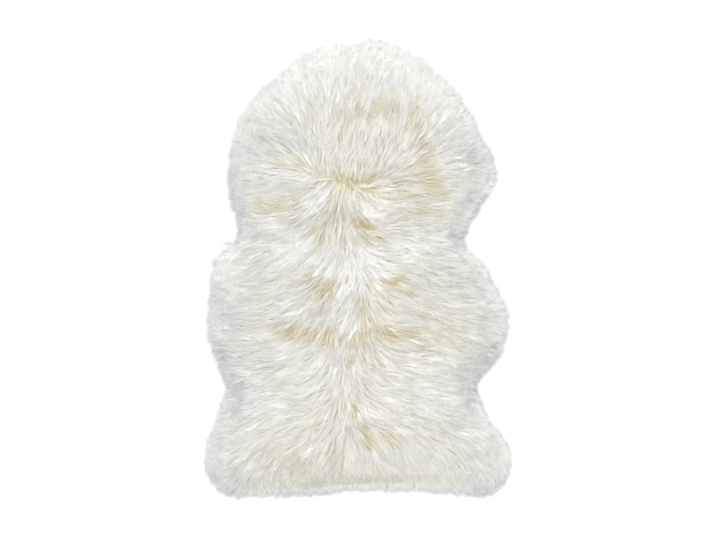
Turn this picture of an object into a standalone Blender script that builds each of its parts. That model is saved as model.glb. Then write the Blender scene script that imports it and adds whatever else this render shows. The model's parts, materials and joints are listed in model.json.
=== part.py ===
"""A sheepskin rug: one tanned pelt with its wool on, lying flat on the floor, wool side up.

The pelt and its wool are one piece, so the rug is one solid: a lumpy slab of wool on a flat
underside, with locks of wool standing out all round its rim and resting on the floor.
Metres, +Z up, +Y towards the neck end. The origin is the middle of the underside.
"""

import math
import random

import bmesh
import bpy
from mathutils import Matrix, Vector, noise

MM = 0.001

# Driving dimensions, in metres
CROWN_HEIGHT = 0.046  # of the wool over the floor, inside the shoulder
RIM_HEIGHT = 0.014  # of the slab where the outer locks leave it
SHOULDER_WIDTH = 0.085  # over which the wool rises from the rim to its full height
LOCK_REACH = 0.027  # how far a lock of average length stands out past the slab
LOCK_LENGTHS = (0.84, 1.12)  # the shortest and the longest lock's share of that reach
LOCK_LEAN = math.radians(10)  # how far clumps of locks lean to one side, at most
OUTWARD_PULL = 0.3  # how far the locks turn from the lie of the wool towards straight out
CLUMP_WIDTH = 0.035  # round the rim, of the locks that lean together
TUFT_DEPTH = 0.0055  # of the relief between one tuft of wool and the next
TUFT_WIDTH = 0.034  # across the lie of the wool
TUFT_LENGTH = 0.095  # along it

# How finely the slab is divided
ROWS = 130  # from the neck end to the tail end; each has one lock at either side
COLUMNS = 22  # across each row
CROWDED = 0.6  # how far the columns crowd towards the rim, where the wool rounds over
EDGE_STEPS = 8  # spline points between two points of the outline

# The whorl on the shoulders, from which the wool spreads
WHORL = Vector((-0.014, 0.165))
FAN_RADIUS = 0.150  # an arc of it this far out counts as that length of back
LOCK_SEED = 7

# Each lock, from its root on the slab to its tip, in shares of its length and of its root's width
LOCK_STATIONS = (
    # place, along, breadth, height
    ("belly", 0.52, 0.80, 0.0095),
    ("tip", 1.00, 0.15, 0.0022),
)

# The outline of the wool's tips, in millimetres, from the neck's middle to the tail's middle
RIGHT_SIDE = (
    # place, x, y
    ("neck middle", -10, 438),
    ("neck crest", 36, 450),
    ("neck slope", 84, 434),
    ("neck corner", 132, 406),
    ("shoulder slope", 175, 369),
    ("shoulder", 209, 327),
    ("upper arm", 236, 280),
    ("arm", 252, 244),
    ("arm lobe top", 273, 204),
    ("arm lobe", 278, 173),
    ("arm lobe end", 262, 146),
    ("armpit slope", 242, 122),
    ("armpit", 226, 86),
    ("waist", 211, 58),
    ("flank start", 217, 28),
    ("flank slope", 246, 5),
    ("flank", 267, -34),
    ("belly top", 289, -73),
    ("belly", 299, -108),
    ("belly end", 293, -150),
    ("belly slope", 271, -193),
    ("groin slope", 240, -218),
    ("groin", 233, -244),
    ("thigh", 246, -283),
    ("thigh slope", 265, -322),
    ("leg top", 291, -353),
    ("leg", 300, -384),
    ("leg end", 288, -424),
    ("corner", 256, -448),
    ("tail slope", 190, -446),
    ("tail hollow", 110, -440),
    ("tail middle", 0, -440),
)
LEFT_SIDE = (
    # place, x, y
    ("neck middle", -10, 438),
    ("neck crest", -54, 442),
    ("neck slope", -97, 424),
    ("neck corner", -137, 395),
    ("shoulder slope", -174, 367),
    ("shoulder", -204, 340),
    ("shoulder step", -214, 317),
    ("upper arm", -235, 296),
    ("arm", -247, 254),
    ("arm lobe top", -258, 206),
    ("arm lobe", -260, 158),
    ("arm lobe end", -254, 118),
    ("waist", -237, 74),
    ("flank start", -250, 38),
    ("flank slope", -278, 6),
    ("flank", -293, -34),
    ("belly top", -298, -84),
    ("belly", -298, -130),
    ("belly end", -289, -173),
    ("belly slope", -270, -208),
    ("groin", -261, -244),
    ("thigh", -270, -287),
    ("thigh slope", -287, -330),
    ("leg top", -299, -368),
    ("leg", -299, -405),
    ("leg end", -286, -432),
    ("corner", -258, -448),
    ("tail slope", -200, -451),
    ("tail swell", -112, -451),
    ("tail rise", -55, -444),
    ("tail middle", 0, -440),
)

# Partings and hollows in the wool, in millimetres, each a soft trough; the turn is in degrees
HOLLOWS = (
    # place, x, y, half length, half width, turn, depth
    ("whorl parting", -14, 163, 62, 11, -14, 12),
    ("withers hollow", 3, 84, 36, 11, 3, 9),
    ("left withers hollow", -66, -30, 22, 26, 0, 7),
    ("right withers hollow", 66, -28, 30, 13, -12, 6),
    ("left saddle", -95, -128, 88, 12, -4, 8),
    ("right saddle", 82, -126, 62, 12, 2, 6),
    ("spine parting", 20, -84, 12, 42, 0, 7),
    ("rump parting", 10, -296, 62, 8, -56, 9),
    ("neck parting", -10, 376, 12, 66, 0, 7),
)
# The fan of wool above the whorl ends in a shallow trough, an arc round the whorl
FAN_END_RADIUS = 0.128
FAN_END_WIDTH = 0.017
FAN_END_DEPTH = 0.006


def clear_scene():
    for thing in list(bpy.data.objects):
        bpy.data.objects.remove(thing)


def wool_material():
    wool = bpy.data.materials.new("cream wool")
    wool.use_nodes = True
    finish = wool.node_tree.nodes["Principled BSDF"]
    finish.inputs["Base Color"].default_value = (0.88, 0.85, 0.76, 1)
    finish.inputs["Roughness"].default_value = 0.9
    finish.inputs["Metallic"].default_value = 0
    return wool


def eased(share):
    """0 to 1 with a level start and end."""
    share = min(max(share, 0), 1)
    return share * share * (3 - 2 * share)


def smooth_run(side):
    """A curve through the outline's points, as a Catmull-Rom spline."""
    points = [Vector((x, y)) * MM for _, x, y in side]
    padded = [points[0], *points, points[-1]]
    run = []
    for before, start, end, after in zip(padded, padded[1:], padded[2:], padded[3:]):
        for step in range(EDGE_STEPS):
            t = step / EDGE_STEPS
            bend = (2 * start, end - before, 2 * before - 5 * start + 4 * end - after,
                    3 * start - before - 3 * end + after)
            run.append(sum((part * t**power for power, part in enumerate(bend)), Vector((0, 0))) / 2)
    return [*run, points[-1]]


def evenly(run, count):
    """The run again as count + 1 points an equal way apart."""
    walked = [0]
    for start, end in zip(run, run[1:]):
        walked.append(walked[-1] + (end - start).length)
    found, stretch = [], 0
    for step in range(count + 1):
        target = walked[-1] * step / count
        while stretch < len(run) - 2 and walked[stretch + 1] < target:
            stretch += 1
        share = (target - walked[stretch]) / (walked[stretch + 1] - walked[stretch])
        found.append(run[stretch].lerp(run[stretch + 1], min(share, 1)))
    return found


def lie(place):
    """The way the wool lies at a place: out from the whorl, and lower down out from the spine."""
    fan = place - WHORL
    if fan.length < 1e-6:
        return Vector((0, -1))
    down_back = eased((WHORL.y - place.y) / 0.55)
    at_tail = eased((-0.30 - place.y) / 0.14) * (1 - eased((abs(place.x) - 0.16) / 0.13))
    drop = math.radians(8 + 34 * down_back + 42 * at_tail)
    side = 1 if place.x > WHORL.x else -1
    combed = Vector((side * math.cos(drop), -math.sin(drop)))
    fanned = eased((place.y - WHORL.y + 0.06) / 0.12)
    return combed.lerp(fan.normalized(), fanned).normalized()


def along_and_round(place):
    """A place as (how far out its wool lies from the back, where on the back or the whorl it starts)."""
    fan = place - WHORL
    if fan.y > 0:
        turn = math.atan2(fan.y, abs(fan.x))
        return fan.length, FAN_RADIUS * turn
    return math.hypot(fan.x, 0.3 * fan.y), fan.y + 0.35 * abs(fan.x) * eased(-fan.y / 0.15)


def tuft_relief(place):
    """The rise and fall from tuft to tuft, drawn out along the lie of the wool."""
    out, start = along_and_round(place)
    side = 3 * math.tanh((place.x - WHORL.x) / 0.04)
    tufts = noise.noise(Vector((start / TUFT_WIDTH, out / TUFT_LENGTH, side)))
    smaller = noise.noise(Vector((2.1 * start / TUFT_WIDTH, 1.8 * out / TUFT_LENGTH, 2 * side)))
    return TUFT_DEPTH * (1.5 * tufts + 0.7 * smaller)


def hollow_depth(place):
    """How far the partings and hollows sink the wool at a place."""
    depth = 0
    for _, x, y, half_length, half_width, turn, deep in HOLLOWS:
        away = Matrix.Rotation(-math.radians(turn), 2) @ (place - Vector((x, y)) * MM)
        reach = (away.x / (half_length * MM)) ** 2 + (away.y / (half_width * MM)) ** 2
        depth += deep * MM * math.exp(-reach)
    fan = place - WHORL
    past_end = (fan.length - FAN_END_RADIUS) / FAN_END_WIDTH
    return depth + FAN_END_DEPTH * eased(fan.y / 0.06) * math.exp(-past_end * past_end)


def wool_height(place, rim):
    """The top of the slab: a rounded shoulder up from the rim, then tufts and hollows."""
    inset = min((place - point).length for point in rim)
    climb = 1 - min(inset / SHOULDER_WIDTH, 1)
    share = math.sqrt(1 - climb * climb)
    crown = RIM_HEIGHT + (CROWN_HEIGHT - RIM_HEIGHT) * share
    return crown + share * (tuft_relief(place) - hollow_depth(place))


def across(left, back, right, share):
    """A point of a row, which bows from its left end over the back to its right end."""
    bow = 4 * share * (1 - share)
    return left.lerp(right, share) + bow * (back - (left + right) / 2)


def rim_rows():
    """The two ends of each row, left and right, a lock's reach inside the outline of the tips."""
    tips = [evenly(smooth_run(side), ROWS) for side in (LEFT_SIDE, RIGHT_SIDE)]
    return [[tip - LOCK_REACH * lie(tip) for tip in side] for side in tips]


def build_slab(bm, roots):
    """The slab's top, flat bottom and rim. Returns the rim's faces, one to a lock."""
    left_rim, right_rim = roots
    rim = [*left_rim, *right_rim[1:-1]]
    neck, tail = (left_rim[0] + right_rim[0]) / 2, (left_rim[-1] + right_rim[-1]) / 2
    left_rim[0] = right_rim[0] = neck
    left_rim[-1] = right_rim[-1] = tail
    even = [column / COLUMNS for column in range(COLUMNS + 1)]
    crowded = [0.5 - math.cos(math.pi * share) / 2 for share in even]
    shares = [plain + CROWDED * (curved - plain) for plain, curved in zip(even, crowded)]
    tops, bottoms = [], []
    for row in range(ROWS + 1):
        back = neck.lerp(tail, row / ROWS)
        left, right = left_rim[row], right_rim[row]
        at_end = row in (0, ROWS)
        top = []
        for share in [0] if at_end else shares:
            place = across(left, back, right, share)
            at_rim = share in (0, 1)
            height = RIM_HEIGHT if at_rim else wool_height(place, rim)
            top.append(bm.verts.new((place.x, place.y, height)))
        tops.append(top)
        under = [back] if at_end else [left, back, right]
        bottoms.append([bm.verts.new((place.x, place.y, 0)) for place in under])
    for rows, upward in ((tops, True), (bottoms, False)):
        for above, below in zip(rows, rows[1:]):
            join_rows(bm, above, below, upward)
    return close_rim(bm, tops, bottoms)


def join_rows(bm, above, below, upward):
    """Faces between two rows, or a fan where one of them is a single point."""
    for column in range(max(len(above), len(below)) - 1):
        corners = [below[0]] if len(below) == 1 else [below[column], below[column + 1]]
        corners += [above[0]] if len(above) == 1 else [above[column + 1], above[column]]
        bm.faces.new(corners if upward else corners[::-1])


def close_rim(bm, tops, bottoms):
    """The upright faces between the top's edge and the bottom's, all the way round."""
    faces = []
    for row in range(ROWS):
        for end, order in ((0, -1), (-1, 1)):
            corners = [tops[row][end], tops[row + 1][end], bottoms[row + 1][end], bottoms[row][end]]
            faces.append(bm.faces.new(corners[::order]))
    return faces


def grow_locks(bm, rim_faces):
    """Draws each face of the rim out into a lock that narrows to its tip and rests on the floor."""
    chance = random.Random(LOCK_SEED)
    bm.normal_update()
    for face in rim_faces:
        feet = [vert.co.to_2d() for vert in face.verts if vert.co.z == 0]
        root, width = (feet[0] + feet[1]) / 2, feet[1] - feet[0]
        heading = (lie(root) + OUTWARD_PULL * face.normal.to_2d()).normalized()
        lean = Matrix.Rotation(LOCK_LEAN * noise.noise(Vector((*root, 5)) / CLUMP_WIDTH), 2)
        reach = lean @ heading * LOCK_REACH * chance.uniform(*LOCK_LENGTHS)
        for _, along, breadth, height in LOCK_STATIONS:
            face = bmesh.ops.extrude_discrete_faces(bm, faces=[face])["faces"][0]
            centre = face.calc_center_median()
            for vert in face.verts:
                side = 1 if (vert.co - centre).to_2d().dot(width) > 0 else -1
                place = root + along * reach + side * breadth / 2 * width
                vert.co = (*place, height if vert.co.z > centre.z else 0)


def centre_on_origin(mesh):
    """Puts the origin in the middle of the rug's length and width."""
    for axis in (0, 1):
        reach = [vert.co[axis] for vert in mesh.vertices]
        shift = Vector((0, 0, 0))
        shift[axis] = -(min(reach) + max(reach)) / 2
        mesh.transform(Matrix.Translation(shift))


def main():
    clear_scene()
    collection = bpy.data.collections.new("sheepskin rug")
    bpy.context.scene.collection.children.link(collection)
    bm = bmesh.new()
    rim_faces = build_slab(bm, rim_rows())
    grow_locks(bm, rim_faces)
    mesh = bpy.data.meshes.new("sheepskin")
    bm.to_mesh(mesh)
    bm.free()
    centre_on_origin(mesh)
    mesh.shade_smooth()
    mesh.set_sharp_from_angle(angle=math.radians(50))
    mesh.materials.append(wool_material())
    collection.objects.link(bpy.data.objects.new("sheepskin", mesh))


main()
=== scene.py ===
import json
import math

import bmesh
import bpy
import numpy as np
from mathutils import Matrix, Vector, kdtree, noise

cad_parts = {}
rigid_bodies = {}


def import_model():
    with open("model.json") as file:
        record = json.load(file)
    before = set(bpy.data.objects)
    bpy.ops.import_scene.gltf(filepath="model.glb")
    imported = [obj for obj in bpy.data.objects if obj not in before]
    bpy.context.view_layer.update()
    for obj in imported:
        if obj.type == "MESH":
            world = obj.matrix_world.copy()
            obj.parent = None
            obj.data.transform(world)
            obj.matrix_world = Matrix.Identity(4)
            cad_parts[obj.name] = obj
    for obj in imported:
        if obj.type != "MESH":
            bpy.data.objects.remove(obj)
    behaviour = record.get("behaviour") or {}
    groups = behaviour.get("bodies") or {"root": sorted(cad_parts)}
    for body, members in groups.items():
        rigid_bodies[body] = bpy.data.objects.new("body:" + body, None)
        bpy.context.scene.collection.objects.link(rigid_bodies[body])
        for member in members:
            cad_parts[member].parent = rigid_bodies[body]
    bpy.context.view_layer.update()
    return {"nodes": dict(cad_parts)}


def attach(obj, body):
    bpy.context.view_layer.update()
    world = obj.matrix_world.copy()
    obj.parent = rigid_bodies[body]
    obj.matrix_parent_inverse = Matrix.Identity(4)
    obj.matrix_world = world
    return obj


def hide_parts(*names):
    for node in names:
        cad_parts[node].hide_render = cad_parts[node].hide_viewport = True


for leftover in list(bpy.data.objects):
    bpy.data.objects.remove(leftover)
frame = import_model()
pelt = frame["nodes"]["sheepskin"]


# how the wool lies, seen from above; a zone is where a change starts and how far on it is full

combing = {
    "crease": ((-0.066, 0.176), (0.022, 0.154)),  # where the wool parts on the shoulders, in metres
    "creaseWidth": 0.088,
    "fanZone": (-0.05, 0.09),  # from under the crease up, where it fans out and isn't combed down
    # y, and by how many degrees the wool hangs down from sideways there
    "dropLeft": ((0.15, 6), (0.05, 20), (-0.05, 12), (-0.15, 8), (-0.25, 14), (-0.34, 34), (-0.42, 52)),
    "dropRight": ((0.15, 2), (0.05, 5), (-0.05, 9), (-0.15, 11), (-0.25, 19), (-0.34, 36), (-0.42, 52)),
    "dropAtTail": 40,  # degrees more at the tail edge, where it hangs straight down
    "tailZone": (-0.30, -0.14),
    "tailSides": (0.16, 0.13),  # the zone out to either side where that ends
    "spineShift": 0.012,  # how far left of the rug's middle the back's middle lies
    "spineLeft": 0.062,  # how far from the back's middle it turns from down to sideways
    "spineRight": 0.040,
    "spineFall": 0.9,  # how straight down it lies in the back's middle
    "spineStray": 0.016,  # how far the middle strays
    "spineStraySize": 0.07,
    "swirl": 10,  # degrees that it wanders either way
    "swirlSize": 0.09,
    "ruffle": 17,  # degrees more, in small patches down the middle
    "ruffleSize": 0.028,
    "ruffleSides": (0, 0.12),  # the zone out to either side where it gets less ruffled
    "ruffleLoss": 0.6,  # and how much less
    "neckCalm": 0.8,  # how much flatter the locks lie towards the neck
    "neckCalmZone": (0.08, 0.10),
    "neckCalmFan": (0.05, 0.13),  # the same zone, measured from the crease
    "sideCalm": 0.15,
    "sideCalmZone": (0.06, 0.10),
    "tailCalm": 0.35,
    "tailCalmZone": (-0.16, -0.24),
    # the white tufts are partly painted light
    "tuftCalm": 0.8,  # and in the white tufts
}
creaseLeft, creaseRight = map(Vector, combing["crease"])
noisePlanes = {"spine": 0.3, "swirl": 0.4, "ruffle": 0.7, "mottle": 0.2}  # so no two patterns are alike


def eased(share):
    share = np.clip(share, 0, 1)
    return share * share * (3 - 2 * share)


def within(value, start, width):
    # 0 where a zone starts and 1 where it is full
    return eased((value - start) / width)


def readAlong(stops, y):
    # a value that changes down the back, between stops of (y, value)
    for (aboveY, above), (belowY, below) in zip(stops, stops[1:]):
        if y > belowY:
            return above + (below - above) * within(y, aboveY, belowY - aboveY)
    return stops[-1][1]


def wander(place, size, plane):
    # a smooth chance value, about -1 to 1
    return 2 * noise.noise(Vector((place.x, place.y, plane * size)) / size)


def lieOfWool(place):
    crease = creaseRight - creaseLeft
    share = min(max((place - creaseLeft).dot(crease) / crease.length_squared, 0), 1)
    fan = place - creaseLeft.lerp(creaseRight, share)
    stray = combing["spineStray"] * wander(place, combing["spineStraySize"], noisePlanes["spine"])
    fromSpine = place.x + combing["spineShift"] + stray
    left = fromSpine < 0
    side = math.tanh(fromSpine / combing["spineLeft" if left else "spineRight"])
    atTail = within(place.y, *combing["tailZone"]) * (1 - within(abs(place.x), *combing["tailSides"]))
    drop = readAlong(combing["dropLeft" if left else "dropRight"], place.y)
    drop = math.radians(drop + combing["dropAtTail"] * atTail)
    fall = combing["spineFall"] * (1 - abs(side))
    combed = Vector((side * math.cos(drop), -math.sin(drop) - fall)).normalized()
    lie = combed.lerp(fan.normalized(), within(fan.y, *combing["fanZone"]))
    inMiddle = 1 - combing["ruffleLoss"] * within(abs(place.x), *combing["ruffleSides"])
    angle = combing["swirl"] * wander(place, combing["swirlSize"], noisePlanes["swirl"])
    angle += combing["ruffle"] * inMiddle * wander(place, combing["ruffleSize"], noisePlanes["ruffle"])
    lie.rotate(Matrix.Rotation(math.radians(angle), 2))
    return lie.normalized()


def unrestAt(place):
    # 1 where the locks stand apart, and less where they lie calm
    fan = place - creaseLeft.lerp(creaseRight, within(place.x, creaseLeft.x, combing["creaseWidth"]))
    calm = combing["neckCalm"] * within(fan.length, *combing["neckCalmFan"])
    calm *= within(place.y, *combing["neckCalmZone"])
    calm = max(calm, combing["tailCalm"] * within(place.y, *combing["tailCalmZone"]))
    return 1 - max(calm, combing["sideCalm"] * within(abs(place.x), *combing["sideCalmZone"]))


# the wool's tone: 0 dark gold, 0.15 gold, 0.3 straw, 0.42 cream, 0.6 oat, 0.8 silver and 1 grey; the grey
# end and the straw tones also carry painted shade
tones = {
    "body": 0.42,
    "flanks": 0.55,
    "flankZone": (0.05, 0.12),
    "neck": 0.60,
    "neckZone": (0.24, 0.14),
    "tailZone": (-0.30, -0.10),  # where the flanks' and the rim's tones end, in the tail's middle
    "tailSides": (0.17, 0.07),
    # the rim is greyer: partly the wool's own cooler tone, partly painted shade where the fleece falls
    # away, with less of it at the neck
    "rim": 0.80,
    "neckRim": 0.74,
    "rimWidth": 0.11,
    "rimLossAtTail": 0.7,  # how much less the rim's tone shows in the tail's middle
    # painted shade: the last of the rim is greyer, in place of the shade along the outline
    "edge": 0.10,  # how much greyer the last of the rim is
    "edgeShadeWidth": 0.010,
    "mottle": 0.03,
    "mottleSize": 0.05,
    "whiteLocks": 0.11,  # the share of locks that are white instead
    # at the neck all locks are white: partly the wool's own colour, partly painted light at the end that
    # the light comes from
    "whiteAndLitAtNeck": 1.00,
    "whiteInside": 0.09,  # they thin out from this far inside the rim
    "whiteInsideNeck": 0.060,
    # the dusky bands named here are partly painted shade
    "whiteLoss": 2,  # how quickly gold and dusk leave fewer of them
    "mutedInside": 0.11,  # they are muted up to this far inside the rim, and wholly up to half of it
    "mutedZone": (0.55, -0.3),  # and where the locks' unrest falls this low
}
goldenPartings = (  # from, to, half width, how much more golden
    ((-0.062, 0.179), (-0.041, 0.175), 0.006, 0.38),
    ((-0.041, 0.175), (-0.002, 0.156), 0.007, 0.82),
    ((-0.002, 0.156), (0.028, 0.151), 0.007, 0.46),
    ((0.018, 0.180), (0.077, 0.172), 0.009, 0.21),
    ((0.000, 0.197), (0.014, 0.199), 0.006, 0.31),
    ((-0.008, 0.084), (0.026, 0.084), 0.010, 0.54),
    ((-0.045, 0.120), (-0.030, 0.065), 0.020, 0.18),
    ((-0.069, 0.057), (-0.069, 0.050), 0.006, 0.52),
    ((-0.102, 0.063), (-0.075, 0.086), 0.007, 0.26),
    ((0.000, 0.052), (0.045, 0.060), 0.012, 0.23),
    ((-0.085, -0.014), (-0.062, -0.045), 0.020, 0.37),
    ((-0.052, -0.028), (-0.022, -0.022), 0.010, 0.31),
    ((0.035, -0.028), (0.085, -0.022), 0.010, 0.34),
    ((0.085, -0.022), (0.105, -0.045), 0.010, 0.26),
    ((-0.020, -0.050), (0.000, -0.062), 0.011, 0.20),
    ((0.012, -0.060), (0.025, -0.112), 0.011, 0.13),
    ((-0.150, -0.116), (-0.085, -0.129), 0.015, 0.35),
    ((-0.085, -0.129), (0.005, -0.134), 0.015, 0.35),
    ((0.030, -0.130), (0.122, -0.126), 0.015, 0.21),
    ((0.122, -0.126), (0.160, -0.120), 0.013, 0.15),
    ((-0.020, -0.178), (-0.010, -0.192), 0.016, 0.17),
    ((-0.008, -0.270), (0.010, -0.300), 0.010, 0.31),
    ((0.010, -0.300), (0.028, -0.342), 0.010, 0.43),
    ((0.050, -0.318), (0.075, -0.335), 0.011, 0.23),
    ((0.140, -0.325), (0.165, -0.335), 0.010, 0.23),
)
# darker, warmer bands: partly the wool's own tone, partly painted shade in the trough round the fan and at
# the notches
duskyAndShadedBands = (  # the same, but softer, and the same for every lock
    ((-0.012, 0.430), (-0.011, 0.365), 0.014, 0.29),
    ((-0.008, 0.345), (0.002, 0.296), 0.016, 0.28),
    ((-0.085, 0.290), (0.035, 0.296), 0.021, 0.21),
    ((0.110, 0.300), (0.152, 0.280), 0.025, 0.24),
    ((0.035, 0.306), (0.110, 0.314), 0.027, 0.24),
    ((0.100, 0.300), (0.131, 0.245), 0.025, 0.25),
    ((0.127, 0.241), (0.138, 0.185), 0.029, 0.28),
    ((0.138, 0.185), (0.162, 0.125), 0.031, 0.33),
    ((0.100, 0.128), (0.205, 0.094), 0.027, 0.29),
    ((-0.170, 0.208), (-0.110, 0.200), 0.021, 0.20),
    ((-0.195, 0.120), (-0.130, 0.106), 0.027, 0.36),
    ((0.060, -0.042), (0.110, -0.042), 0.019, 0.09),
    ((0.150, -0.085), (0.190, -0.110), 0.032, 0.22),
    ((0.125, -0.152), (0.205, -0.150), 0.035, 0.18),
    ((-0.185, -0.112), (-0.110, -0.126), 0.027, 0.11),
    ((0.060, -0.128), (0.150, -0.126), 0.023, 0.07),
    ((-0.180, -0.315), (-0.120, -0.325), 0.027, 0.15),
    ((-0.175, -0.358), (-0.050, -0.375), 0.033, 0.16),
    ((-0.100, -0.405), (0.080, -0.403), 0.019, 0.15),
)
# whiter tufts: partly the wool's own white, partly painted light where the tufts catch it
whiteAndLitTufts = (  # where locks grow that are more often white
    ((-0.115, 0.090), (-0.080, 0.055), 0.026, 0.90),
    ((-0.120, 0.047), (-0.015, 0.026), 0.026, 1.00),
    ((0.044, 0.040), (0.004, -0.008), 0.018, 0.90),
    ((0.003, -0.035), (-0.004, -0.080), 0.012, 0.65),
    ((-0.068, 0.148), (-0.058, 0.136), 0.014, 0.90),
    ((0.006, 0.142), (0.026, 0.118), 0.010, 0.80),
    ((-0.078, 0.016), (-0.062, 0.006), 0.012, 0.70),
    ((-0.155, 0.173), (-0.110, 0.178), 0.025, 0.60),
    ((-0.110, -0.030), (-0.080, -0.090), 0.020, 0.55),
    ((-0.100, -0.150), (-0.040, -0.160), 0.026, 0.80),
    ((-0.150, -0.220), (-0.045, -0.200), 0.030, 0.30),
    ((0.065, 0.050), (0.145, 0.052), 0.021, 0.70),
    ((0.055, -0.170), (0.120, -0.180), 0.016, 0.50),
    ((0.040, -0.240), (0.160, -0.245), 0.020, 0.40),
    ((-0.115, -0.310), (-0.205, -0.335), 0.024, 0.38),
    ((0.225, -0.275), (0.262, -0.350), 0.031, 1.00),
    ((-0.245, 0.060), (-0.220, 0.000), 0.026, 1.00),
    ((0.205, 0.028), (0.238, -0.015), 0.022, 0.90),
    ((0.235, -0.015), (0.250, -0.070), 0.020, 0.70),
    ((0.250, -0.070), (0.245, -0.130), 0.022, 0.60),
    ((0.265, -0.035), (0.290, -0.105), 0.022, 0.45),
    ((0.210, 0.165), (0.240, 0.158), 0.018, 0.90),
    ((0.262, 0.235), (0.264, 0.200), 0.018, 0.50),
    ((0.120, 0.325), (0.185, 0.250), 0.020, 0.70),
)
# greyer, darker marks: partly the wool's own greyer tone, partly painted shade at the notches, under the
# lobes and along the tail's edge
greyAndPaintedShade = (  # from, to, half width, how much greyer
    ((0.268, -0.168), (0.258, -0.208), 0.024, 0.40),
    ((0.245, -0.200), (0.228, -0.255), 0.018, 0.28),
    ((-0.268, -0.155), (-0.262, -0.190), 0.020, 0.24),
    ((-0.238, -0.215), (-0.232, -0.262), 0.018, 0.26),
    ((-0.270, -0.050), (-0.240, -0.100), 0.026, 0.10),
    ((-0.268, 0.178), (-0.256, 0.085), 0.025, 0.38),
    ((-0.255, 0.100), (-0.225, 0.108), 0.022, 0.26),
    ((0.262, 0.125), (0.230, 0.082), 0.021, 0.32),
    ((0.222, 0.078), (0.190, 0.068), 0.024, 0.24),
    ((-0.294, -0.415), (-0.270, -0.445), 0.024, 0.35),
    ((0.235, -0.445), (0.280, -0.435), 0.022, 0.34),
    ((-0.150, -0.441), (0.180, -0.438), 0.014, 0.30),
    ((0.185, 0.212), (0.230, 0.214), 0.024, 0.14),
    ((-0.160, 0.370), (-0.100, 0.400), 0.026, 0.13),
    ((-0.060, 0.390), (-0.020, 0.395), 0.022, 0.12),
    ((-0.160, 0.228), (-0.080, 0.268), 0.026, 0.16),
    ((0.150, 0.272), (0.176, 0.235), 0.024, 0.13),
    ((-0.090, 0.220), (0.080, 0.220), 0.040, 0.06),
)
ruffledRims = (  # from, to, half width, how ruffled the locks are that grow there
    ((0.165, 0.275), (0.225, 0.165), 0.045, 1.00),
    ((-0.200, 0.225), (-0.120, 0.290), 0.035, 0.55),
)


def marked(places, marks):
    # how strongly the marks show at each place, softly round the line of each
    most = np.zeros(len(places))
    for start, end, halfWidth, strength in marks:
        run = np.subtract(end, start)
        share = np.clip((places - start) @ run / (run @ run), 0, 1)
        away = np.linalg.norm(places - start - share[:, None] * run, axis=1)
        most = np.maximum(most, strength * np.exp(-(away / halfWidth) ** 2))
    return most


def tonesAt(places, toRim):
    # the tone at each place, how golden its partings are, and how many of its locks are white
    x, y = abs(places[:, 0]), places[:, 1]
    atNeck = within(y, *tones["neckZone"])
    atTail = within(y, *tones["tailZone"]) * (1 - within(x, *tones["tailSides"]))
    atRim = (1 - eased(toRim / tones["rimWidth"])) * (1 - tones["rimLossAtTail"] * atTail)
    atFlanks = within(x, *tones["flankZone"])
    tone = tones["body"] + (tones["neck"] - tones["body"]) * atNeck
    tone += (tones["flanks"] - tones["body"]) * atFlanks * (1 - atNeck) * (1 - atTail)
    # greyer towards the rim, partly painted shade
    tone += (tones["rim"] + (tones["neckRim"] - tones["rim"]) * atNeck - tone) * atRim
    # painted shade along the outline
    tone += tones["edge"] * (1 - eased(toRim / tones["edgeShadeWidth"]))
    spread = [wander(Vector(place), tones["mottleSize"], noisePlanes["mottle"]) for place in places]
    # the dusky bands darken the tone, partly as painted shade
    duskAndShade, gold = marked(places, duskyAndShadedBands), marked(places, goldenPartings)
    # the grey marks grey the tone, partly as painted shade
    tone += tones["mottle"] * np.array(spread) + marked(places, greyAndPaintedShade) - duskAndShade
    white = tones["whiteLocks"] + (tones["whiteAndLitAtNeck"] - tones["whiteLocks"]) * atNeck
    inside = tones["whiteInside"] + (tones["whiteInsideNeck"] - tones["whiteInside"]) * atNeck
    # the tufts' whites are partly painted light
    white = white * eased(toRim / inside) + marked(places, whiteAndLitTufts)
    return tone, gold, white * np.clip(1 - tones["whiteLoss"] * (gold + duskAndShade), 0, 1)


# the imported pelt: its lumpy top, the rim of that, and the tips of its locks

packed = {
    "rimHeight": 0.0139,  # no point of the lumpy top is lower than this
    "tipHeights": (0.0015, 0.0030),  # only the tips of the locks have points between these
    "joinWithin": 1e-5,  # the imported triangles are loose, and meet to within this
    "uprightUnder": 0.02,  # a face whose normal rises less than this isn't part of the top
    "pairAngle": 1,  # radians between two triangles that are still made one face
}


def packedTop():
    # the lumpy top as an open sheet, and the places of the lock tips round it
    top = bmesh.new()
    top.from_mesh(pelt.data)
    bmesh.ops.remove_doubles(top, verts=top.verts, dist=packed["joinWithin"])
    low, high = packed["tipHeights"]
    tips = [vert.co.to_2d() for vert in top.verts if low < vert.co.z < high]
    lower = [vert for vert in top.verts if vert.co.z < packed["rimHeight"]]
    bmesh.ops.delete(top, geom=lower, context="VERTS")
    upright = [face for face in top.faces if face.normal.z < packed["uprightUnder"]]
    bmesh.ops.delete(top, geom=upright, context="FACES")
    angle = packed["pairAngle"]
    bmesh.ops.join_triangles(top, faces=top.faces, angle_face_threshold=angle, angle_shape_threshold=angle)
    return top, tips


def rimInOrder(top):
    # the sheet's boundary, vertex by vertex
    start = next(vert for vert in top.verts if vert.is_boundary)
    rim, edge = [start], None
    while True:
        edge = next(e for e in rim[-1].link_edges if e.is_boundary and e != edge)
        ahead = edge.other_vert(rim[-1])
        if ahead == start:
            return rim
        rim.append(ahead)


def closestTips(places, tips):
    tree = kdtree.KDTree(len(tips))
    for number, tip in enumerate(tips):
        tree.insert((*tip, 0), number)
    tree.balance()
    return [tree.find((*place, 0))[0].to_2d() for place in places]


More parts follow.
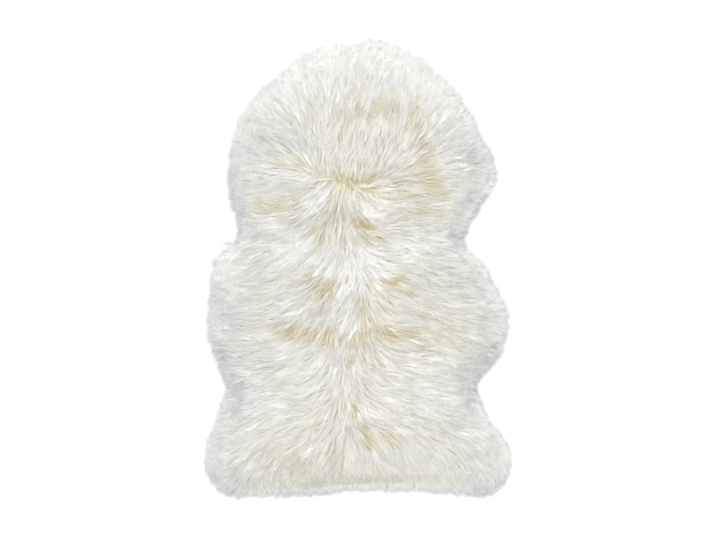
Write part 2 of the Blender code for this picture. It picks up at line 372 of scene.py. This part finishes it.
top, tips = packedTop()
rim = rimInOrder(top)
rimPlaces = [vert.co.to_2d() for vert in rim]
nearestTips = closestTips(rimPlaces, tips)
outline = np.array([tip[:] for tip in nearestTips])
outlineRun = np.roll(outline, -1, axis=0) - outline
noTurn = 1e-12  # smaller than this counts as nothing, so that nothing is divided by 0
noRise = 1e-9
placeGroups = 20  # worked on one by one, so that the tables of distances stay small
print("packed top:", len(top.verts), "points,", len(rim), "round its rim")


def roomAhead(place, way):
    # how far it is along a line from the place to the outline
    gap = outline - np.array(place)
    turn = way[0] * outlineRun[:, 1] - way[1] * outlineRun[:, 0]
    turn = np.where(abs(turn) < noTurn, noTurn, turn)
    along = (gap[:, 0] * outlineRun[:, 1] - gap[:, 1] * outlineRun[:, 0]) / turn
    share = (gap[:, 0] * way[1] - gap[:, 1] * way[0]) / turn
    met = along[(share >= 0) & (share <= 1) & (along > 0)]
    return float(met.min()) if len(met) else 0.0


def depthInside(places):
    # how far inside the outline each place is, and 0 outside it
    run = outlineRun
    slope = run[:, 0] / np.where(abs(run[:, 1]) < noRise, noRise, run[:, 1])
    depths = []
    for group in np.array_split(places, placeGroups):
        gap = group[:, None] - outline
        share = np.clip((gap * run).sum(axis=2) / np.maximum((run ** 2).sum(axis=1), noTurn), 0, 1)
        away = np.linalg.norm(gap - share[:, :, None] * run, axis=2).min(axis=1)
        passed = (gap[:, :, 1] < 0) != (gap[:, :, 1] < run[:, 1])
        met = passed & (gap[:, :, 0] < gap[:, :, 1] * slope)
        depths.append(away * (met.sum(axis=1) % 2))
    return np.concatenate(depths)


# materials

def newMaterial(name, roughness, **settings):
    material = bpy.data.materials.new(name)
    material.use_nodes = True
    surface = material.node_tree.nodes["Principled BSDF"]
    surface.inputs["Roughness"].default_value = roughness
    for socket, value in settings.items():
        surface.inputs[socket].default_value = value
    return material, material.node_tree, surface


def wire(tree, kind, feeds=(), **settings):
    # adds a node; each feed goes to the enabled input of that name or number
    made = tree.nodes.new(kind)
    for setting, value in settings.items():
        setattr(made, setting, value)
    shown = [socket for socket in made.inputs if socket.enabled]
    for key, feed in dict(feeds).items():
        socket = shown[key] if isinstance(key, int) else next(s for s in shown if s.name == key)
        if isinstance(feed, bpy.types.NodeSocket):
            tree.links.new(feed, socket)
        else:
            socket.default_value = feed
    return made


def result(node, name=None):
    shown = [socket for socket in node.outputs if socket.enabled]
    return shown[0] if name is None else next(s for s in shown if s.name == name)


def coloursAlong(tree, share, stops):
    ramp = wire(tree, "ShaderNodeValToRGB", {"Fac": share})
    elements = ramp.color_ramp.elements
    while len(elements) < len(stops):
        elements.new(0.5)
    for element, (place, colour) in zip(elements, stops):
        element.position = place
        element.color = colour
    return result(ramp)


strandMap = "OFBake"  # across: a strand's tone, golden to grey and then white; up: root to tip
toneCode = {  # how a tone is written across that map
    "first": 0.02,
    "range": 0.76,
    "most": 0.94,  # greyer tones are kept to this, short of the whites
    "ownLock": 0.07,  # how much further along a lock's own draw puts it
    "ownSide": 0.01,  # and a strand's three sides
    "white": 0.915,
    "mutedWhite": 0.055,  # how far back the muted whites are
    "evened": 0.6,  # how much less the locks' own draws show where the wool is muted
}
woolFinish = {
    "tones": (
        (0.00, (0.60, 0.505, 0.295, 1)), (0.15, (0.735, 0.655, 0.445, 1)),
        (0.30, (0.81, 0.757, 0.63, 1)), (0.42, (0.885, 0.870, 0.755, 1)),
        (0.60, (0.822, 0.819, 0.757, 1)), (0.80, (0.752, 0.751, 0.754, 1)),
        (1.00, (0.56, 0.558, 0.555, 1))),
    "whites": (  # on the map itself, past the tones: first the muted ones of the neck
        (0.840, (0.888, 0.888, 0.855, 1)), (0.905, (0.928, 0.928, 0.890, 1)),
        (0.915, (0.99, 0.99, 0.955, 1))),
    "rootToTip": (  # the tint of those along a strand
        (0.05, (0.90, 0.865, 0.76, 1)), (0.35, (0.985, 0.970, 0.92, 1)), (0.75, (1.0, 1.0, 1.0, 1))),
    "roughness": 0.75,
    "shine": 0.08,
    "sheen": 0.04,
    "glow": 0.4,  # how much light passes into the strands
    "glowDepth": 0.004,
    "glowColours": (1.0, 0.92, 0.75),
}


def woolMaterial():
    settings = {
        "Sheen Weight": woolFinish["sheen"], "Specular IOR Level": woolFinish["shine"],
        "Subsurface Weight": woolFinish["glow"], "Subsurface Radius": woolFinish["glowColours"],
        "Subsurface Scale": woolFinish["glowDepth"]}
    material, tree, surface = newMaterial("long wool", woolFinish["roughness"], **settings)
    places = wire(tree, "ShaderNodeUVMap", uv_map=strandMap)
    split = wire(tree, "ShaderNodeSeparateXYZ", {"Vector": result(places)})
    tone, along = result(split, "X"), result(split, "Y")
    length = coloursAlong(tree, along, woolFinish["rootToTip"])
    first = toneCode["first"] + (toneCode["ownLock"] + toneCode["ownSide"]) / 2
    stops = [(first + toneCode["range"] * place, colour) for place, colour in woolFinish["tones"]]
    tint = coloursAlong(tree, tone, [*stops, *woolFinish["whites"]])
    colour = wire(tree, "ShaderNodeMix", {"Factor": 1, "A": length, "B": tint},
                  data_type="RGBA", blend_type="MULTIPLY")
    tree.links.new(result(colour), surface.inputs["Base Color"])
    return material


underwoolFinish = {
    "dark": (0.66, 0.61, 0.46, 1),
    "light": (0.82, 0.79, 0.66, 1),
    "contrast": (0.35, 0.65),  # from all dark to all light in the clumps' pattern
    "clumps": {"Scale": 90, "Detail": 4},
    "fibres": {"Scale": 700, "Detail": 3},
    "bump": {"Strength": 0.6, "Distance": 0.002},
    "roughness": 0.9,
    "sheen": 0,
}
suedeFinish = {
    "dark": (0.66, 0.58, 0.45, 1),
    "light": (0.80, 0.74, 0.62, 1),
    "contrast": (0.3, 0.7),
    "clumps": {"Scale": 9, "Detail": 6},
    "fibres": {"Scale": 900, "Detail": 2},
    "bump": {"Strength": 0.4, "Distance": 0.0008},
    "roughness": 0.92,
    "sheen": 0.2,
}


def clumpedMaterial(name, finish):
    # two colours in soft clumps, and a bump of fine fibres
    material, tree, surface = newMaterial(name, finish["roughness"], **{"Sheen Weight": finish["sheen"]})
    where = result(wire(tree, "ShaderNodeTexCoord"), "Object")
    clumps = wire(tree, "ShaderNodeTexNoise", {"Vector": where, **finish["clumps"]})
    stops = list(zip(finish["contrast"], (finish["dark"], finish["light"])))
    colour = coloursAlong(tree, result(clumps, "Fac"), stops)
    tree.links.new(colour, surface.inputs["Base Color"])
    fibres = wire(tree, "ShaderNodeTexNoise", {"Vector": where, **finish["fibres"]})
    bump = wire(tree, "ShaderNodeBump", {**finish["bump"], "Height": result(fibres, "Fac")})
    tree.links.new(result(bump), surface.inputs["Normal"])
    return material


# the hide is a flat sheet under the wool

hideSizes = {
    "liesOver": 0.0004,  # the floor
    "thickness": 0.0020,
    "insideRim": 0.004,
}


def newObject(name, mesh, material=None):
    made = bpy.data.objects.new(name, mesh)
    bpy.context.scene.collection.objects.link(made)
    if material:
        mesh.materials.append(material)
    return made


def newMesh(name, shape):
    mesh = bpy.data.meshes.new(name)
    shape.to_mesh(mesh)
    return mesh


def joinLoops(shape, loop, other):
    # a band of four-sided faces between two loops of as many points
    for a, b, c, d in zip(loop, loop[1:] + loop[:1], other[1:] + other[:1], other):
        shape.faces.new((a, b, c, d))


def signedArea(loop):
    return sum(a.x * b.y - b.x * a.y for a, b in zip(loop, loop[1:] + loop[:1])) / 2


def insetLoop(loop, distance):
    # each place of a loop, moved to its inner side
    side = 1 if signedArea(loop) > 0 else -1
    inset = []
    for before, place, after in zip(loop[-1:] + loop[:-1], loop, loop[1:] + loop[:1]):
        along = (after - before).normalized()
        inward = Vector((-along.y, along.x)) * side
        inset.append(place + inward * distance)
    return inset


def makeHide(material):
    edge = insetLoop(rimPlaces, hideSizes["insideRim"])
    shape = bmesh.new()
    under = [shape.verts.new((*place, hideSizes["liesOver"])) for place in edge]
    over = [shape.verts.new(vert.co + Vector((0, 0, hideSizes["thickness"]))) for vert in under]
    shape.faces.new(under)
    shape.faces.new(over)
    joinLoops(shape, under, over)
    bmesh.ops.recalc_face_normals(shape, faces=shape.faces)
    hide = newObject("hide", newMesh("hide", shape), material)
    size = [max(p[axis] for p in edge) - min(p[axis] for p in edge) for axis in (0, 1)]
    return hide, size, abs(signedArea(edge))


hide, hideSize, hideArea = makeHide(clumpedMaterial("suede hide", suedeFinish))
print("hide:", [round(side, 3) for side in hideSize], "metres,", round(hideArea, 3), "square metres")


# the underwool, which the long wool grows from

underwoolSizes = {
    "bottom": 0.0026,  # just over the hide
    "share": 0.87,  # of the wool's height
    "undersideUnder": -0.5,  # a face whose normal rises less than this is its underside
}
regions = {  # name: lowest y, highest y, side of the back (-1 left, 1 right, 0 both)
    "neckWool": (0.25, 1, 0),
    "leftShoulderWool": (0.05, 0.25, -1),
    "rightShoulderWool": (0.05, 0.25, 1),
    "leftFlankWool": (-0.17, 0.05, -1),
    "rightFlankWool": (-0.17, 0.05, 1),
    "leftRumpWool": (-1, -0.17, -1),
    "rightRumpWool": (-1, -0.17, 1),
}
noRegion = -1


def regionOf(face):
    if face.normal.z < underwoolSizes["undersideUnder"]:
        return noRegion
    place = face.center
    for number, (low, high, side) in enumerate(regions.values()):
        if low <= place.y < high and side * place.x >= 0:
            return number
    return 0


def makeUnderwool(material):
    shape = top.copy()
    lowest = underwoolSizes["bottom"]
    for vert in shape.verts:
        vert.co.z = lowest + (vert.co.z - lowest) * underwoolSizes["share"]
    loop = rimInOrder(shape)
    foot = [shape.verts.new((*vert.co.to_2d(), lowest)) for vert in loop]
    joinLoops(shape, loop, foot)
    shape.faces.new(foot)
    bmesh.ops.recalc_face_normals(shape, faces=shape.faces)
    bmesh.ops.triangulate(shape, faces=[face for face in shape.faces if len(face.verts) > 4])
    mesh = newMesh("underwool", shape)
    mesh.shade_smooth()
    return newObject("underwool", mesh, material)


def store(mesh, name, values, kind="FLOAT", domain="POINT"):
    key = "vector" if kind == "FLOAT_VECTOR" else "value"
    mesh.attributes.new(name, kind, domain).data.foreach_set(key, values)


def describeGrowth(mesh):
    # what the long wool reads where it grows: its lie, the room to the outline, and its region
    places = [vert.co.to_2d() for vert in mesh.vertices]
    lies = [lieOfWool(place) for place in places]
    store(mesh, "lie", [x for lie in lies for x in (*lie, 0)], "FLOAT_VECTOR")
    store(mesh, "room", [roomAhead(place, lie) for place, lie in zip(places, lies)])
    spots = np.array([place[:] for place in places])
    unrest = np.array([unrestAt(place) for place in places])
    unrest = np.maximum(unrest, marked(spots, ruffledRims))
    depth = depthInside(spots)
    calm = within(unrest, *tones["mutedZone"])
    store(mesh, "muted", np.maximum(calm, 1 - eased(2 * depth / tones["mutedInside"] - 1)))
    store(mesh, "unrest", unrest * (1 - combing["tuftCalm"] * marked(spots, whiteAndLitTufts)))
    store(mesh, "white", tonesAt(spots, depth)[2])
    store(mesh, "region", [regionOf(face) for face in mesh.polygons], "INT", "FACE")


underwool = makeUnderwool(clumpedMaterial("underwool", underwoolFinish))
describeGrowth(underwool.data)
print("underwool:", len(underwool.data.polygons), "faces")


# the level that the long wool's tips lie at, out past the outline

fleeceRings = (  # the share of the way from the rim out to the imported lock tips, and the height there
    (0.5, 0.0108),
    (1.0, 0.0052),
    (1.9, 0.0020),
)
fleeceCuts = 2  # across each face, for a smooth change of tone


def makeFleeceLevel():
    level = top.copy()
    loop = rimInOrder(level)
    for reach, height in fleeceRings:
        ring = [level.verts.new((*place.lerp(tip, reach), height))
                for place, tip in zip(rimPlaces, nearestTips)]
        joinLoops(level, loop, ring)
        loop = ring
    bmesh.ops.recalc_face_normals(level, faces=level.faces)
    if sum(face.normal.z for face in level.faces) < 0:
        bmesh.ops.reverse_faces(level, faces=level.faces)
    level.normal_update()
    facing = level.verts.layers.float_vector.new("facing")
    for vert in level.verts:
        vert[facing] = vert.normal.copy()
    bmesh.ops.subdivide_edges(level, edges=level.edges[:], cuts=fleeceCuts, use_grid_fill=True)
    mesh = newMesh("fleeceLevel", level)
    places = np.array([vert.co.to_2d()[:] for vert in mesh.vertices])
    toneHere = np.stack(tonesAt(places, depthInside(places)), axis=1)
    store(mesh, "toneHere", toneHere.ravel(), "FLOAT_VECTOR")
    print("fleece level:", len(places), "points")
    return newObject("fleeceLevel", mesh)


fleeceLevel = makeFleeceLevel()


# the long wool

longWool = {
    "Strands": 100500,  # a square metre
    "Lock Spacing": 0.0050,
    "Start": -0.007,  # how far behind its root a strand starts, which closes the partings
    "Reach": 0.054,  # root to tip, seen from above
    "Root Level": underwoolSizes["share"] + 0.01,  # where the strands leave the underwool
    "Overhang": 0.004,  # how far a lock may pass the outline
    "Thickness": 0.00058,  # a strand's radius at its root
    "Gather": 0.64,  # how far a lock's strands close up towards its tip
    "Arch": 0.0026,
    "Layering": 0.0030,  # how far under or over its neighbours a lock's tip may lie
    "Wave": 0.0032,
    "Bend": 0.009,
    "Lean": 0.24,  # radians
    "Softness": 0.7,  # how much of a strand's shading follows the fleece, not the strand
    "Ridge": 0.44,  # how round a lock is shaded across
}
growthSeed = 5
lockDraws = (  # what all the strands of a lock share: name, least, most and the draw's own seed
    ("lift", -1, 0.55, 12),
    ("bend", -1, 1, 13),
    ("phase", 0, 6.283, 14),
    ("length", 0.72, 1.15, 15),
    ("tone", 0, 1, 16),
    ("over", -2, 1, 17),
    ("gild", 0.2, 1.6, 18),
)
leanSeed, whiteSeed = 11, 19
strandDraws = (  # and what each strand has for itself
    ("stray", -1, 1, 21),
    ("ownLength", 0.82, 1.08, 22),
    ("ownGild", 0.5, 1.5, 23),
)
strandShape = {
    "points": 5,
    "sides": 3,
    "pointsToTip": 0.8,  # under 1 they lie closer together towards the tip
    "mostLocks": 60000,  # a square metre, before those within the spacing are left out
    "stray": 0.13,  # radians that a strand may turn from its lock's lie
    "gatheredAt": 0.85,  # the share of its length by which it has closed up
    "gatherEase": 0.3,
    "turns": 11,  # radians of its wave
    "rise": 1.7,  # how soon it reaches the fleece's level
    "ridgeRate": -1.8,  # how soon the shading turns, from a lock's middle to its sides
    "depthRate": 22,  # how much the arch and the layers grow with the fleece's height
    "leastDepth": 0.45,
    "leastFleece": 0.002,
    "leastHeight": 0.0012,
    "lookFrom": 1,  # the height from which the fleece level is looked for
    "taper": 2.2,
    "calmFullness": 0.3,  # how much thicker strands are where the locks lie calm
    "joinWithin": 2e-6,
}


def maths(tree, operation, *feeds):
    return result(wire(tree, "ShaderNodeMath", enumerate(feeds), operation=operation))


def product(tree, *factors):
    # the last two are multiplied first
    *others, made = factors
    for factor in reversed(others):
        made = maths(tree, "MULTIPLY", factor, made)
    return made


def restOf(tree, share):
    return maths(tree, "SUBTRACT", 1, share)


def limited(tree, value, least, most):
    return maths(tree, "MINIMUM", maths(tree, "MAXIMUM", value, least), most)


def vectors(tree, operation, *feeds):
    return result(wire(tree, "ShaderNodeVectorMath", enumerate(feeds), operation=operation))


def scaled(tree, vector, by):
    return result(wire(tree, "ShaderNodeVectorMath", {"Vector": vector, "Scale": by}, operation="SCALE"))


def turned(tree, vector, angle):
    feeds = {"Vector": vector, "Axis": (0, 0, 1), "Angle": angle}
    return result(wire(tree, "ShaderNodeVectorRotate", feeds))


def chance(tree, least, most, seed):
    number = result(wire(tree, "GeometryNodeInputIndex"))
    feeds = {"Min": least, "Max": most, "ID": number, "Seed": seed}
    return result(wire(tree, "FunctionNodeRandomValue", feeds))


def named(tree, name, kind="FLOAT"):
    return result(wire(tree, "GeometryNodeInputNamedAttribute", {"Name": name}, data_type=kind))


def keep(tree, geometry, name, value, kind="FLOAT", domain="POINT"):
    feeds = {"Geometry": geometry, "Name": name, "Value": value}
    return result(wire(tree, "GeometryNodeStoreNamedAttribute", feeds, data_type=kind, domain=domain))


def openTree():
    # the empty tree, and what it is given by name
    tree = bpy.data.node_groups.new("grow long wool", "GeometryNodeTree")
    inputs = [("Underwool", "Geometry"), *((name, "Float") for name in longWool)]
    inputs += [("Region", "Int"), ("Seed", "Int"), ("Fleece Level", "Object"), ("Material", "Material")]
    for name, kind in inputs:
        tree.interface.new_socket(name, in_out="INPUT", socket_type="NodeSocket" + kind)
    tree.interface.new_socket("Long Wool", in_out="OUTPUT", socket_type="NodeSocketGeometry")
    return tree, {socket.name: socket for socket in tree.nodes.new("NodeGroupInput").outputs}


def lockSeeds(tree, given):
    # one point for each lock, the same for every region, with what all its strands share
    locks = result(wire(tree, "GeometryNodeDistributePointsOnFaces", {
        "Mesh": given["Underwool"], "Distance Min": given["Lock Spacing"],
        "Density Max": strandShape["mostLocks"], "Seed": given["Seed"]}, distribute_method="POISSON"))
    lean = product(tree, given["Lean"], chance(tree, -1, 1, leanSeed))
    lie = vectors(tree, "NORMALIZE", turned(tree, named(tree, "lie", "FLOAT_VECTOR"), lean))
    locks = keep(tree, locks, "lie", lie, "FLOAT_VECTOR")
    for name, least, most, seed in lockDraws:
        locks = keep(tree, locks, name, chance(tree, least, most, seed))
    muted = named(tree, "muted")
    white = maths(tree, "LESS_THAN", chance(tree, 0, 1, whiteSeed), named(tree, "white"))
    level = maths(tree, "SUBTRACT", toneCode["white"], product(tree, muted, toneCode["mutedWhite"]))
    locks = keep(tree, locks, "white", product(tree, white, level))
    evened = restOf(tree, product(tree, muted, toneCode["evened"]))
    return keep(tree, locks, "tone", product(tree, named(tree, "tone"), evened))


def strandRoots(tree, given, locks):
    # the region's strand roots, each with its lock's values
    place = result(wire(tree, "GeometryNodeInputPosition"))
    chosen = wire(tree, "FunctionNodeCompare", {
        "A": named(tree, "region", "INT"), "B": given["Region"]}, data_type="INT", operation="EQUAL")
    roots = result(wire(tree, "GeometryNodeDistributePointsOnFaces", {
        "Mesh": given["Underwool"], "Selection": result(chosen), "Density": given["Strands"],
        "Seed": given["Seed"]}))
    nearest = result(wire(tree, "GeometryNodeSampleNearest", {"Geometry": locks, "Sample Position": place}))

    def ofLock(value, kind="FLOAT"):
        feeds = {"Geometry": locks, "Value": value, "Index": nearest}
        return result(wire(tree, "GeometryNodeSampleIndex", feeds, data_type=kind))

    roots = keep(tree, roots, "lockPlace", ofLock(place, "FLOAT_VECTOR"), "FLOAT_VECTOR")
    roots = keep(tree, roots, "root", place, "FLOAT_VECTOR")
    lie = ofLock(named(tree, "lie", "FLOAT_VECTOR"), "FLOAT_VECTOR")
    roots = keep(tree, roots, "lie", lie, "FLOAT_VECTOR")
    for name in [*(draw[0] for draw in lockDraws), "white"]:
        roots = keep(tree, roots, name, ofLock(named(tree, name)))
    for name, least, most, seed in strandDraws:
        roots = keep(tree, roots, name, chance(tree, least, most, seed))
    return roots


def strandsOn(tree, roots):
    # a line on each root, which knows how far along it each of its points is
    line = result(wire(tree, "GeometryNodeCurvePrimitiveLine", {"End": (0, 0, 1)}))
    line = result(wire(tree, "GeometryNodeResampleCurve", {"Curve": line, "Count": strandShape["points"]}))
    strands = result(wire(tree, "GeometryNodeInstanceOnPoints", {"Points": roots, "Instance": line}))
    strands = result(wire(tree, "GeometryNodeRealizeInstances", {"Geometry": strands}))
    along = result(wire(tree, "GeometryNodeSplineParameter"), "Factor")
    return keep(tree, strands, "along", maths(tree, "POWER", along, strandShape["pointsToTip"]))


def pathFromAbove(tree, given):
    # where a strand runs, seen from above, and which ways its lock's middle and its side are
    along = named(tree, "along")
    stray = product(tree, named(tree, "stray"), strandShape["stray"])
    lie = turned(tree, named(tree, "lie", "FLOAT_VECTOR"), stray)
    across = turned(tree, lie, math.pi / 2)
    free = product(tree, given["Reach"], named(tree, "length"))
    allowed = product(tree, given["Overhang"], named(tree, "over"))
    allowed = maths(tree, "ADD", named(tree, "room"), allowed)
    reach = product(tree, maths(tree, "MINIMUM", free, allowed), named(tree, "ownLength"))
    short = maths(tree, "DIVIDE", reach, given["Reach"])
    gathered = maths(tree, "SMOOTH_MIN", along, strandShape["gatheredAt"], strandShape["gatherEase"])
    gathered = product(tree, product(tree, given["Gather"], gathered), named(tree, "unrest"))
    root = named(tree, "root", "FLOAT_VECTOR")
    toLock = vectors(tree, "SUBTRACT", named(tree, "lockPlace", "FLOAT_VECTOR"), root)
    path = vectors(tree, "ADD", root, scaled(tree, toLock, gathered))
    start = product(tree, given["Start"], restOf(tree, along))
    ahead = maths(tree, "ADD", product(tree, reach, along), start)
    path = vectors(tree, "ADD", path, scaled(tree, lie, ahead))
    turn = maths(tree, "ADD", product(tree, along, strandShape["turns"]), named(tree, "phase"))
    sway = product(tree, given["Wave"], maths(tree, "SINE", turn), along)
    bow = product(tree, given["Bend"], named(tree, "bend"), along, along)
    aside = product(tree, maths(tree, "ADD", sway, bow), short)
    return vectors(tree, "ADD", path, scaled(tree, across, aside)), toLock, across


def readFleece(tree, given, path, name):
    # what the fleece level holds right under the path
    level = wire(tree, "GeometryNodeObjectInfo", {"Object": given["Fleece Level"]})
    lookFrom = strandShape["lookFrom"]
    over = vectors(tree, "ADD", vectors(tree, "MULTIPLY", path, (1, 1, 0)), (0, 0, lookFrom))
    return wire(tree, "GeometryNodeRaycast", {
        "Target Geometry": result(level, "Geometry"), "Source Position": over,
        "Attribute": named(tree, name, "FLOAT_VECTOR"),
        "Ray Direction": (0, 0, -1), "Ray Length": 2 * lookFrom}, data_type="FLOAT_VECTOR")


def strandTones(tree, given, strands, path):
    there = result(readFleece(tree, given, path, "toneHere"), "Attribute")
    there = wire(tree, "ShaderNodeSeparateXYZ", {"Vector": there})
    gilt = product(tree, named(tree, "gild"), named(tree, "ownGild"))
    tone = maths(tree, "SUBTRACT", result(there, "X"), product(tree, result(there, "Y"), gilt))
    return keep(tree, strands, "toneHere", limited(tree, tone, 0, toneCode["most"]))


def liftStrands(tree, given, strands, path, toLock, across):
    # out of the underwool, over in an arch, and down among the neighbours' tips
    along, unrest = named(tree, "along"), named(tree, "unrest")
    under = readFleece(tree, given, path, "facing")
    ridge = maths(tree, "DIVIDE", vectors(tree, "DOT_PRODUCT", toLock, across), given["Lock Spacing"])
    ridge = limited(tree, product(tree, ridge, strandShape["ridgeRate"]), -1, 1)
    ridge = scaled(tree, across, product(tree, ridge, given["Ridge"], unrest))
    facing = vectors(tree, "ADD", result(under, "Attribute"), ridge)
    strands = keep(tree, strands, "facing", facing, "FLOAT_VECTOR")
    fleece = result(wire(tree, "ShaderNodeSeparateXYZ", {"Vector": result(under, "Hit Position")}), "Z")
    fleece = product(tree, fleece, result(under, "Is Hit"))
    fleece = maths(tree, "MAXIMUM", fleece, strandShape["leastFleece"])
    rise = restOf(tree, maths(tree, "POWER", restOf(tree, along), strandShape["rise"]))
    part = product(tree, restOf(tree, given["Root Level"]), rise)
    part = maths(tree, "ADD", given["Root Level"], part)
    arch = product(tree, given["Arch"], maths(tree, "SINE", product(tree, along, math.pi)))
    tier = product(tree, given["Layering"], named(tree, "lift"), along)
    depth = product(tree, fleece, strandShape["depthRate"])
    depth = maths(tree, "MAXIMUM", depth, strandShape["leastDepth"])
    lumps = product(tree, product(tree, maths(tree, "ADD", arch, tier), depth), unrest)
    height = maths(tree, "ADD", product(tree, fleece, part), lumps)
    height = maths(tree, "MAXIMUM", height, strandShape["leastHeight"])
    upright = result(wire(tree, "ShaderNodeCombineXYZ", {"Z": height}))
    path = vectors(tree, "ADD", vectors(tree, "MULTIPLY", path, (1, 1, 0)), upright)
    return result(wire(tree, "GeometryNodeSetPosition", {"Geometry": strands, "Position": path}))


def roundedOut(tree, given, strands):
    # each strand three-sided, tapering to a point, with its tone written on it
    along = named(tree, "along")
    taper = restOf(tree, maths(tree, "POWER", along, strandShape["taper"]))
    fuller = product(tree, named(tree, "unrest"), strandShape["calmFullness"])
    fuller = maths(tree, "SUBTRACT", 1 + strandShape["calmFullness"], fuller)
    radius = product(tree, given["Thickness"], taper, fuller)
    feeds = {"Resolution": strandShape["sides"], "Radius": 1}
    section = result(wire(tree, "GeometryNodeCurvePrimitiveCircle", feeds))
    around = result(wire(tree, "GeometryNodeSplineParameter"), "Factor")
    section = keep(tree, section, "around", around)
    wool = result(wire(tree, "GeometryNodeCurveToMesh", {
        "Curve": strands, "Profile Curve": section, "Scale": radius, "Fill Caps": True}))
    ownLock = product(tree, named(tree, "tone"), toneCode["ownLock"])
    own = maths(tree, "ADD", ownLock, product(tree, named(tree, "around"), toneCode["ownSide"]))
    tone = product(tree, named(tree, "toneHere"), toneCode["range"])
    tone = maths(tree, "ADD", toneCode["first"], tone)
    tone = maths(tree, "ADD", maths(tree, "MAXIMUM", tone, named(tree, "white")), own)
    spot = result(wire(tree, "ShaderNodeCombineXYZ", {"X": tone, "Y": along}))
    return keep(tree, wool, strandMap, spot, "FLOAT2", "CORNER")


def shadedAsFleece(tree, given, wool):
    # the shading follows the fleece more than the strand, most of all where the locks lie calm
    crisp = product(tree, restOf(tree, given["Softness"]), named(tree, "unrest"))
    own = scaled(tree, result(wire(tree, "GeometryNodeInputNormal")), crisp)
    shared = scaled(tree, named(tree, "facing", "FLOAT_VECTOR"), restOf(tree, crisp))
    facing = vectors(tree, "NORMALIZE", vectors(tree, "ADD", own, shared))
    feeds = {"Mesh": wool, "Custom Normal": facing}
    return result(wire(tree, "GeometryNodeSetMeshNormal", feeds, mode="FREE"))


def growthTree():
    tree, given = openTree()
    roots = strandRoots(tree, given, lockSeeds(tree, given))
    strands = strandsOn(tree, roots)
    path, toLock, across = pathFromAbove(tree, given)
    strands = strandTones(tree, given, strands, path)
    strands = liftStrands(tree, given, strands, path, toLock, across)
    wool = roundedOut(tree, given, strands)
    feeds = {"Geometry": wool, "Distance": strandShape["joinWithin"]}
    wool = result(wire(tree, "GeometryNodeMergeByDistance", feeds))
    wool = result(wire(tree, "GeometryNodeSetShadeSmooth", {"Geometry": wool}))
    wool = shadedAsFleece(tree, given, wool)
    wool = result(wire(tree, "GeometryNodeRealizeInstances", {"Geometry": wool}))
    wool = result(wire(tree, "GeometryNodeSetMaterial", {"Geometry": wool, "Material": given["Material"]}))
    tree.links.new(wool, tree.nodes.new("NodeGroupOutput").inputs[0])
    return tree


def growRegion(name, number, tree, values):
    grower = newObject(name, underwool.data.copy())
    modifier = grower.modifiers.new("grow", "NODES")
    modifier.node_group = tree
    values = {**values, "Region": number}
    for socket in tree.interface.items_tree:
        if socket.in_out == "INPUT" and socket.name in values:
            modifier[socket.identifier] = values[socket.name]
    bpy.context.view_layer.update()
    evaluated = grower.evaluated_get(bpy.context.evaluated_depsgraph_get())
    grown = bpy.data.meshes.new_from_object(evaluated)
    grower.modifiers.clear()
    grower.data = grown
    wanted = (strandMap, "position", "material_index", "sharp_face", "custom_normal")
    for spare in [a.name for a in grown.attributes if a.name not in wanted and a.name[0] != "."]:
        grown.attributes.remove(grown.attributes[spare])
    grown.name = name
    return grower


def growLongWool():
    tree = growthTree()
    values = {**longWool, "Seed": growthSeed, "Fleece Level": fleeceLevel, "Material": woolMaterial()}
    pieces = [growRegion(name, number, tree, values) for number, name in enumerate(regions)]
    bpy.data.objects.remove(fleeceLevel)
    return pieces


wool = growLongWool()
counts = [sum(len(face.vertices) - 2 for face in piece.data.polygons) for piece in wool]
print("long wool:", dict(zip(regions, counts)), "triangles, in all", sum(counts))


# floor, light and camera

studio = {
    "floor": 0.74,
    "floorRoughness": 0.9,
    "floorSize": 6,
    "world": 1.30,
    "key": 1.7,  # watts a square metre
    "keyFrom": (-0.22, 0.50, 1.0),  # over the neck end
    "keyAngle": 40,  # degrees across, which softens its shadows
    "cameraHeight": 2.6,
    "sensor": 36,  # millimetres across
    "picture": (716, 540),  # pixels across and down, for which the camera is placed
    "pixel": 0.001948,  # metres of rug to each of those
    "rugMiddle": (357.5, 269.0),  # the pixel that the rug's middle lies at
}


def makeRoom(scene):
    world = bpy.data.worlds.new("white room")
    world.use_nodes = True
    world.node_tree.nodes["Background"].inputs["Color"].default_value = (1, 1, 1, 1)
    world.node_tree.nodes["Background"].inputs["Strength"].default_value = studio["world"]
    scene.world = world
    material, _, surface = newMaterial("floor", studio["floorRoughness"])
    surface.inputs["Base Color"].default_value = (studio["floor"],) * 3 + (1,)
    surface.inputs["Specular IOR Level"].default_value = 0
    shape = bmesh.new()
    bmesh.ops.create_grid(shape, x_segments=1, y_segments=1, size=studio["floorSize"])
    newObject("floor", newMesh("floor", shape), material)


def makeKey(scene):
    key = bpy.data.lights.new("key", "SUN")
    key.energy = studio["key"]
    key.angle = math.radians(studio["keyAngle"])
    lamp = bpy.data.objects.new("key", key)
    lamp.rotation_euler = Vector(studio["keyFrom"]).to_track_quat("Z", "Y").to_euler()
    scene.collection.objects.link(lamp)


def makeCamera(scene):
    wide, high = studio["picture"]
    across, down = studio["rugMiddle"]
    pixel, height = studio["pixel"], studio["cameraHeight"]
    camera = bpy.data.cameras.new("camera")
    camera.sensor_width = studio["sensor"]
    camera.lens = camera.sensor_width * height / (wide * pixel)
    eye = bpy.data.objects.new("camera", camera)
    eye.location = ((wide / 2 - across) * pixel, (down - high / 2) * pixel, height)
    scene.collection.objects.link(eye)
    scene.camera = eye


bpy.context.scene.view_settings.view_transform = "Standard"
makeRoom(bpy.context.scene)
makeKey(bpy.context.scene)
makeCamera(bpy.context.scene)
print("floor, light and camera are in place")


# every piece rides on the pelt's body

for piece in [hide, underwool, *wool]:
    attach(piece, "root")
    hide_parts("sheepskin")
